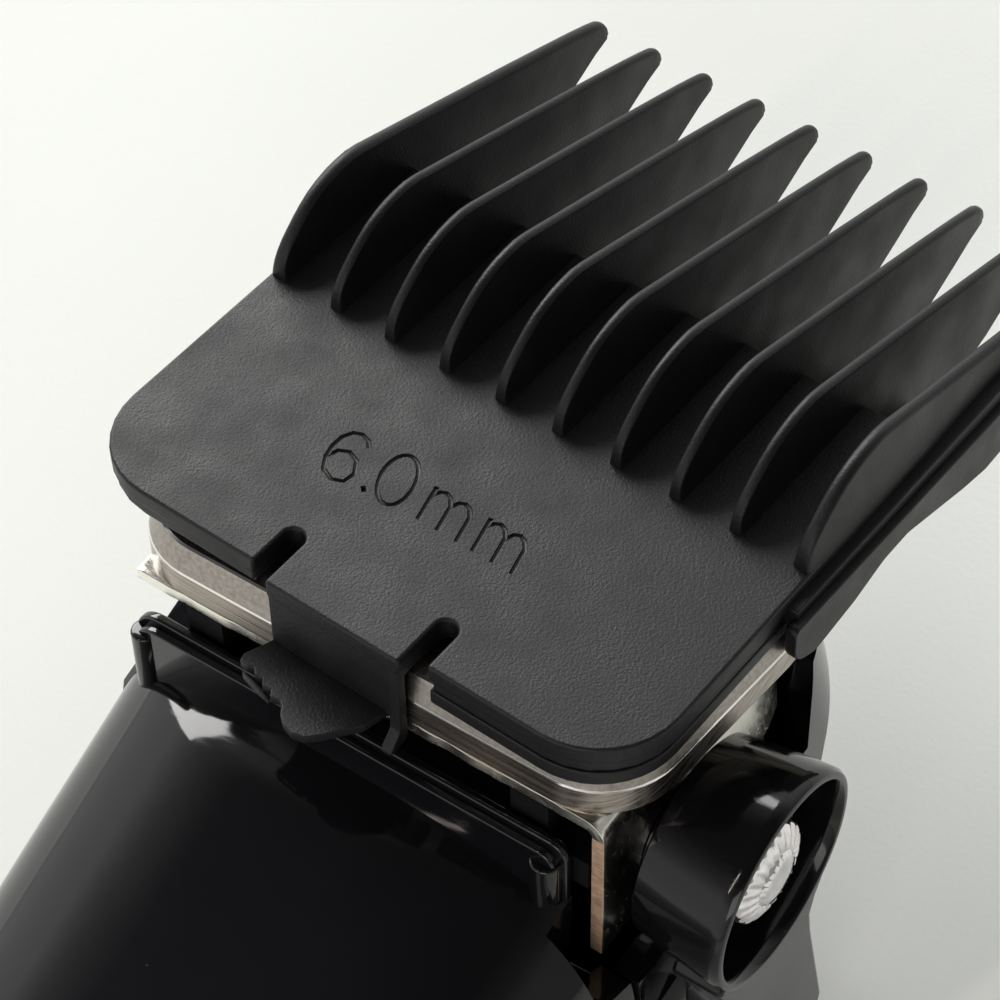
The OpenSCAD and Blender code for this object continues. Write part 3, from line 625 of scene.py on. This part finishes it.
# The sheet's middle line as (place, normal) pairs: across, round the bend, down the leg
bend_r = 1.0
leg_x = 18.9
across_z = -8.1
leg_length = 13.1
leg_steps = 14
path = [((x, across_z), (0, 1)) for x in (-19.4 + k * 0.6 for k in range(61)) if x < leg_x - bend_r]
for k in range(7):
    a = math.pi / 2 * k / 6
    path.append(((leg_x - bend_r + bend_r * math.sin(a), across_z - bend_r + bend_r * math.cos(a)),
                 (math.sin(a), math.cos(a))))
for k in range(1, leg_steps + 1):
    path.append(((leg_x, -9.1 - k * leg_length / leg_steps), (1, 0)))
leg_front = [(-22.2, -3.4), (-20.5, -1.2), (-18.8, 0.4), (-15.1, -0.1), (-12.5, -1.2), (-10.4, -2.2),
             (-9.0, -3.3), (-8.0, -3.7)]
bm = bmesh.new()
rings = []
for (x, z), (nx, nz) in path:
    # The shear leaves the rear edge a little ragged, with a low swell near the tongue
    ragged = 0.09 * noise.noise(Vector((x * 0.5, z * 0.5, 3.1)))
    ragged = ragged + 0.03 * noise.noise(Vector((x * 1.9, z * 2, 7.7)))
    ragged += 0.2 * max(0.0, 1 - abs(x + 8.5) / 3.5)
    rear = -22.0 + (ragged if z > -9 else ragged * 0.35)
    front = between(leg_front, z) if z < -8.2 else -3.7
    rings.append([(x + nx * 0.5, rear, z + nz * 0.5), (x + nx * 0.5, rear + 0.5, z + nz * 0.5),
                  (x + nx * 0.5, front, z + nz * 0.5), (x - nx * 0.5, front, z - nz * 0.5),
                  (x - nx * 0.5, rear + 0.5, z - nz * 0.5), (x - nx * 0.5, rear, z - nz * 0.5)])
add_loft(bm, rings)
bm.normal_update()
for face in bm.faces:
    centre = face.calc_center_median()
    rear_edge = len(face.verts) == 4 and centre.y < -21.2 and abs(face.normal.y) > 0.6
    face.material_index = 1 if rear_edge and centre.z < -9.0 else 0
bracket = make_piece("blade_bracket", bm, head_frame, [plated, sheared], bevel=0.1, segments=2, angle=50)

# A slot for the lever's cam, and a window over the follower
hub = (-13.8, -15.9)
throw = 1.4
bm = bmesh.new()
cam_y, cam_z = hub[0] + throw * math.sin(math.radians(15)), hub[1] - throw * math.cos(math.radians(15))
slot_line = [(cam_y + 4.06 * math.cos(a), cam_z + (0.3 if math.sin(a) > 0 else -0.1) + 4.06 * math.sin(a))
             for a in (k * math.pi / 24 for k in range(48))]
add_slab(bm, slot_line, 17, 21, "x")
add_slab(bm, [(-10, -10), (10, -10), (10, 2), (-10, 2)], -10, -5)
cut(bracket, bm, head_frame)
shade(bracket, 35)
keep(bracket, "carriage", "plated_steel", "blade_bracket")

# ---------------------------------------------------------------------------
# The taper lever
# Gloss black moulding: a deep cup round its screw, an arm that the thumb moves, and a cam
# on its inner face. It turns on the screw and stays where the washer's friction holds it.
# ---------------------------------------------------------------------------


def gloss_black(name, tint, rough_low, rough_high, wear, gleam=0.5):
    """Gloss moulding with faint flow, wipe marks and small dust specks."""
    material, tree, shader, where = new_material(name)
    flow = grain(tree, where, 90, detail=2)
    wipes = grain(tree, where, 420, stretch=(1, 7, 1), turn=(0.3, 0.2, 0.9), detail=4)
    specks = node(tree, "ShaderNodeTexVoronoi", {"Vector": where, "Scale": 240.0}).outputs["Distance"]
    dust = graded(tree, specks, 0.012, 0.02, 1.0, 0.0)
    base = blended(tree, flow, tint, tuple(c * 1.8 for c in tint))
    dusty = node(tree, "ShaderNodeMix", {}, data_type="RGBA")
    tree.links.new(dust, dusty.inputs["Factor"])
    tree.links.new(base, dusty.inputs[6])
    dusty.inputs[7].default_value = (0.07, 0.07, 0.07, 1)
    tree.links.new(dusty.outputs[2], shader.inputs["Base Color"])
    tree.links.new(graded(tree, wipes, 0.45, 0.75, rough_low, rough_high), shader.inputs["Roughness"])
    scored = graded(tree, wipes, 0.64, 0.80, 0.0, wear)
    tree.links.new(relief(tree, flow, 0.00006, relief(tree, scored, 0.000002)), shader.inputs["Normal"])
    shader.inputs["Specular IOR Level"].default_value = gleam
    return material


lever_black = gloss_black("lever black", (0.004, 0.004, 0.0045), 0.07, 0.17, 1.0, gleam=0.34)
bore_r = 1.56
bm = bmesh.new()
cup = [(20.9, bore_r), (20.9, 7.2), (21.2, 7.5), (24.0, 7.95), (27.4, 8.35), (28.05, 8.38), (28.4, 8.2),
       (28.5, 7.95), (28.45, 7.7), (28.2, 7.5), (27.5, 7.4), (25.2, 7.25), (24.85, 7.0), (24.8, 6.5),
       (24.8, bore_r)]
add_turned(bm, cup, hub, 96)
sleeve = [(18.32, 1.58), (18.32, 2.4), (21.2, 2.4), (21.2, 1.58)]
add_turned(bm, sleeve, hub, 48)
# The arm hangs from an arc inside the cup's rim
arc_r = 7.82
arm = [(hub[0] + arc_r * math.cos(math.radians(a)), hub[1] + arc_r * math.sin(math.radians(a)))
       for a in range(-148, -31, 6)]
front_edge = [(7.3, 5.2), (5.5, 8.3), (5.0, 10), (5.4, 12.6), (6.1, 15.6), (7.5, 21.5), (8.2, 24.5),
              (7.9, 26.6), (6.6, 28.0), (4.8, 28.5)]
rear_edge = [(-3.2, 28.5), (-5.4, 27.7), (-6.6, 25.6), (-6.6, 23.5), (-5.8, 20), (-5.2, 14), (-5.1, 10.5),
             (-5.7, 8.2), (-7.3, 5.2)]
arm += [(hub[0] + u, hub[1] - v) for u, v in front_edge + rear_edge]
add_slab(bm, arm, 24.2, 28.25, "x")
lever = make_piece("taper_lever", bm, head_frame, [lever_black], bevel=0.55, segments=3, angle=45)
# The cam sits off the screw's line
cam_disc = [(18.3, 0.9), (18.3, 3.85), (18.45, 4.0), (21.1, 4.0), (21.1, 0.9)]
bm = bmesh.new()
add_turned(bm, cam_disc, (cam_y, cam_z), 64)
cam_piece = make_piece("lever_cam", bm, head_frame, [lever_black])
bm = bmesh.new()
add_slab(bm, circle(*hub, bore_r, 32), 17, 22, "x")
cut(cam_piece, bm, head_frame)
shade(lever, 40)
shade(cam_piece, 30)
keep(lever, "lever", "lever_black", "taper_lever")
keep(cam_piece, "lever", "lever_black")

# ---------------------------------------------------------------------------
# The lever's screw and washer
# A bright plated screw with a domed middle and a ring of fine radial serrations.
# ---------------------------------------------------------------------------
bright = brushed("bright plate", (0.66, 0.63, 0.64), (0.92, 0.89, 0.89), 0.06, 0.13, 1200,
                 (1, 1, 1), 0.00001)
bm = bmesh.new()
spokes = 132
serrations = 22
rings = []
head_x = 25.9
# Each ring's radius, and how deep the serrations are there, from none to full
radii = [(0.02, 0), (0.7, 0), (1.4, 0), (1.9, 0.1), (2.15, 0.5), (2.5, 1), (3.1, 1), (3.55, 1), (3.8, 0.6)]
for k in range(spokes):
    a = 2 * math.pi * k / spokes
    ring = []
    for r, serrated in radii:
        dome = 1.4 * math.sqrt(max(0.0, 1 - (r / 4.0) ** 2))
        dip = 0.22 if 1.9 < r < 2.4 else 0.0
        groove = 0.16 * serrated * (0.5 + 0.5 * math.cos(serrations * a))
        ring.append((head_x + 1 + dome * 0.96 - dip - groove, r))
    ring += [(head_x + 0.95, 4.0), (head_x + 0.1, 4.0), (head_x, 3.9), (head_x, 1.5), (12.5, 1.5),
             (12.5, 0.02)]
    rings.append([(x, hub[0] + r * math.cos(a), hub[1] + r * math.sin(a)) for x, r in ring])
rows = [[bm.verts.new(p) for p in ring] for ring in rings]
for k in range(spokes):
    a, b = rows[k], rows[(k + 1) % spokes]
    for i in range(len(a) - 1):
        bm.faces.new((a[i], a[i + 1], b[i + 1], b[i]))
bm.faces.new([row[0] for row in rows])
bm.faces.new([row[-1] for row in rows][::-1])
lever_screw = make_piece("lever_screw", bm, head_frame, [bright], merge=False)
shade(lever_screw, 42)
keep(lever_screw, "housing", "bright_steel", "lever_screw")

# ---------------------------------------------------------------------------
# The housing's two casings
# Gloss black mouldings that meet at a seam along the sides. The upper one ends in a raised
# collar behind the blade set. The lid below carries the flat land that the clipper rests on.
# ---------------------------------------------------------------------------
casing_black = gloss_black("casing black", (0.0045, 0.0045, 0.0055), 0.06, 0.13, 0.4)
seam_z = 24.0
crown = 40.2
wall_t = 2.2
corner_power = 2 / 2.7
half_widths = [(-86, 12.6), (-85.2, 15.4), (-84, 17.2), (-82, 18.7), (-79, 19.9), (-73, 21.2), (-62, 22),
               (-50, 22), (-30, 21.2), (-12, 20.7), (4, 21.2), (20, 22.1), (40, 23.0)]
tail_fall = [(-86, 9.5), (-85.2, 6.6), (-84, 4.8), (-82, 3.1), (-78, 1.4), (-70, 0.3), (-62, 0.0)]


def eased(t):
    t = max(0.0, min(1.0, t))
    return t * t * (3 - 2 * t)


def soft_between(table, t):
    """As between, with the corners of the line eased off ahead of the tail."""
    if t <= -80:
        return between(table, t)
    return sum(between(table, t + d) for d in (-1.5, -0.75, 0, 0.75, 1.5)) / 5


def casing_ring(y, inset, upper):
    """Half section of the casing, closed along the seam."""
    half = soft_between(half_widths, y) - inset
    tail = between(tail_fall, y) + inset
    count = 40
    ring = []
    for k in range(count + 1):
        a = math.pi * k / count
        c, s = math.cos(a), math.sin(a)
        u = half * math.copysign(abs(c) ** corner_power, c)
        rise = abs(s) ** corner_power
        if upper:
            # The top eases down to a crease in front of a shallow arch
            arch_y = 30.0 + 3.0 * (u / 19.0) ** 2
            fall = 0.35 * eased((y - 8) / 24) + 0.9 * eased((y - arch_y) / 5)
            z = seam_z + (crown - tail - seam_z - fall) * rise
        else:
            z = seam_z - (seam_z - tail) * min(1.0, rise * 1.03)
        ring.append((u, y, z))
    return ring


def casing(name, upper):
    places = [-86, -85.6, -85.2, -84.6, -84, -83, -82, -80.5, -79, -76.5, -74, -70, -66, -60, -52, -44,
              -36, -28, -20, -12, -4, 4, 10, 15, 20, 24]
    places += [26 + k for k in range(12)] if upper else [30, 36]
    outer = bmesh.new()
    add_loft(outer, [casing_ring(y, 0.0, upper) for y in places])
    piece = make_piece(name, outer, clipper_frame, [casing_black])
    # The hollow runs out past the seam and the front
    inner = bmesh.new()
    past = -1.5 if upper else 1.5
    rings = []
    for y in (-83.6, -82, -79, -74, -66, -52, -36, -20, -4, 10, 20, 30, 44):
        rings.append([(u, y, z + past if abs(z - seam_z) < 0.3 else z)
                      for u, y, z in casing_ring(y, wall_t, upper)])
    add_loft(inner, rings)
    return cut(piece, inner, clipper_frame)


upper_casing = casing("upper_casing", True)
# Its front is cut square to the blade
bm = bmesh.new()
add_slab(bm, [(-60, -22.4), (60, -22.4), (60, 80), (-60, 80)], -60, 60)
cut(upper_casing, bm, head_frame)
# Room for the bracket's leg and the lever's cup
bm = bmesh.new()
leg_window = rounded([(-25.5, -22.9, 0.8), (6, -22.9, 0.1), (6, 20, 0.1), (-25.5, 20, 0.1)], 4)
add_slab(bm, leg_window, 17.2, 60, "x")
add_turned(bm, [(20.5, 0.01), (20.5, 8.8), (60, 8.8), (60, 0.01)], hub, 48)
cut(upper_casing, bm, head_frame)
# The power slider's slot and the hole for the light pipe
bm = bmesh.new()
slider_slot = rounded([(-22.5, 26.6, 0.8), (-3.5, 26.6, 0.8), (-3.5, 33.4, 0.8), (-22.5, 33.4, 0.8)], 4)
add_slab(bm, slider_slot, -30, -17, "x")
add_slab(bm, circle(0, -70, 1.6, 32), 30, 50)
cut(upper_casing, bm, clipper_frame)
shade(upper_casing, 34)

# The collar: an upright rim across the casing's front, stepped along its lip
bm = bmesh.new()
lip = rounded([(-19.1, -26, 0.2), (-19.1, -10.5, 2.2), (17.15, -10.5, 1.4), (17.15, -26, 0.2)], 8)
step = rounded([(-18.7, -26, 0.2), (-18.7, -11.1, 2.0), (16.6, -11.1, 1.3), (16.6, -26, 0.2)], 8)
add_slab(bm, lip, -23.1, -22.35, "y")
add_slab(bm, step, -23.8, -22.8, "y")
# Rounded columns that end the rim at either side
for x, r, top in ((-18.1, 1.05, -12.0), (15.7, 1.15, -12.2)):
    add_slab(bm, circle(x, -23.3, r, 24), -26, top)
collar = make_piece("blade_collar", bm, head_frame, [casing_black], bevel=0.25, segments=3, angle=50)
# Behind it the motor needs its room
bm = bmesh.new()
add_slab(bm, circle(0, 23, 11.8, 64), 20, 48, "y")
cut(collar, bm, clipper_frame)
shade(collar, 40)

# The lid has a well for each housing screw, and the charging socket's opening in its tail
lid_casing = casing("lid_casing", False)
bm = bmesh.new()
for x in (-13, 13):
    for y in (-62, 2):
        add_slab(bm, circle(x, y, 2.8, 40), -2, 14)
opening = rounded([(-4.8, 14.2, 0.8), (4.8, 14.2, 0.8), (4.8, 19.8, 0.8), (-4.8, 19.8, 0.8)], 5)
add_slab(bm, opening, -100, -78, "y")
cut(lid_casing, bm, clipper_frame)
shade(lid_casing, 34)
keep(upper_casing, "housing", "shell_black", "lower_shell")
keep(collar, "housing", "shell_black")
keep(lid_casing, "housing", "shell_black", "top_lid")

# ---------------------------------------------------------------------------
# The nose cover, chassis, power slider, charging socket and the works inside
# Mouldings and pressings, each in its own finish. Those that can be seen from outside have
# their edges eased. Screws and clips hold them between the casings.
# ---------------------------------------------------------------------------


def eased_copy(name, source, materials, bevel, body, slot, segments=2):
    """Copy of a frame part with its edges eased."""
    bm = bmesh.new()
    bm.from_mesh(cad_nodes[source].data)
    bmesh.ops.remove_doubles(bm, verts=bm.verts, dist=2e-6)
    bmesh.ops.dissolve_limit(bm, angle_limit=math.radians(0.6), verts=bm.verts, edges=bm.edges)
    piece = make_piece(name, bm, Matrix.Identity(4), materials, bevel=bevel, segments=segments,
                       angle=34, merge=False)
    shade(piece, 35)
    return keep(piece, body, slot, source)


eased_copy("nose_moulding", "nose_cover", [casing_black], 0.35, "housing", "shell_black", segments=3)


def moulded(name, dark, light, rough, scale, depth, gleam=0.5):
    """Matt or satin moulding with a fine grain."""
    material, tree, shader, where = new_material(name)
    spark = grain(tree, where, scale, detail=3)
    tree.links.new(blended(tree, spark, dark, light), shader.inputs["Base Color"])
    tree.links.new(graded(tree, grain(tree, where, 300), 0.3, 0.7, rough - 0.08, rough + 0.08),
                   shader.inputs["Roughness"])
    tree.links.new(relief(tree, spark, depth), shader.inputs["Normal"])
    shader.inputs["Specular IOR Level"].default_value = gleam
    return material


finishes = {
    "frame_grey": moulded("glass-filled black", (0.004, 0.004, 0.005), (0.008, 0.008, 0.009), 0.6, 2500,
                          0.00003, gleam=0.12),
    "slider_grey": moulded("slider grain", (0.012, 0.012, 0.013), (0.024, 0.024, 0.026), 0.5, 4200,
                           0.00004),
    "white_nylon": moulded("natural nylon", (0.70, 0.69, 0.64), (0.80, 0.79, 0.75), 0.4, 1200, 0.00002),
    "cell_sleeve": moulded("cell sleeve", (0.03, 0.14, 0.32), (0.05, 0.20, 0.42), 0.28, 700, 0.00003),
    "board_green": moulded("solder mask", (0.01, 0.11, 0.045), (0.02, 0.17, 0.07), 0.3, 900, 0.00002),
    "lead_red": moulded("lead insulation", (0.42, 0.03, 0.03), (0.52, 0.05, 0.04), 0.45, 1600, 0.00002),
    "lamp_white": moulded("lamp body", (0.75, 0.75, 0.70), (0.85, 0.85, 0.80), 0.35, 2000, 0.00001),
    "magnet_grey": moulded("sintered magnet", (0.10, 0.10, 0.11), (0.17, 0.17, 0.18), 0.6, 3000,
                           0.00005),
    "bright_steel": bright,
    "spring_steel": brushed("drawn wire", (0.5, 0.5, 0.5), (0.75, 0.74, 0.73), 0.2, 0.35, 1800,
                            (1, 1, 1), 0.00002),
    "motor_steel": brushed("motor can", (0.5, 0.5, 0.51), (0.72, 0.72, 0.73), 0.25, 0.4, 900,
                           (1, 6, 1), 0.00002),
    "winding_copper": brushed("winding", (0.55, 0.22, 0.10), (0.85, 0.42, 0.22), 0.25, 0.4, 2500,
                              (6, 1, 1), 0.0001),
    "bush_bronze": brushed("sintered bronze", (0.45, 0.30, 0.14), (0.70, 0.50, 0.26), 0.4, 0.6, 3500,
                           (1, 1, 1), 0.00004),
    "contact_nickel": brushed("nickel strip", (0.6, 0.58, 0.53), (0.8, 0.78, 0.72), 0.2, 0.35, 900,
                              (1, 1, 5), 0.00002),
    "socket_nickel": brushed("socket shell", (0.45, 0.45, 0.45), (0.7, 0.7, 0.7), 0.25, 0.4, 1500,
                             (4, 1, 1), 0.00002),
}
clear, tree, shader, where = new_material("light pipe")
tree.links.new(blended(tree, grain(tree, where, 600), (0.80, 0.86, 0.88), (0.88, 0.92, 0.94)),
               shader.inputs["Base Color"])
tree.links.new(graded(tree, grain(tree, where, 1500), 0.3, 0.7, 0.12, 0.22), shader.inputs["Roughness"])
shader.inputs["Transmission Weight"].default_value = 0.6
finishes["pipe_clear"] = clear

eased_copy("chassis_moulding", "chassis", [finishes["frame_grey"]], 0.25, "housing", "frame_grey")
eased_copy("power_slider_cap", "power_slider", [finishes["slider_grey"]], 0.3, "slider", "slider_grey",
           segments=3)
eased_copy("charge_socket_shell", "charge_socket", [finishes["socket_nickel"]], 0.2, "housing",
           "socket_nickel")

# Everything inside keeps the shape it was made with
slots = {item["node"]: item["material_slot"] for item in frame["record"]["subparts"]}
for name, slot in slots.items():
    if slot in finishes:
        part = cad_nodes[name]
        for index in range(len(part.material_slots)):
            part.material_slots[index].material = finishes[slot]
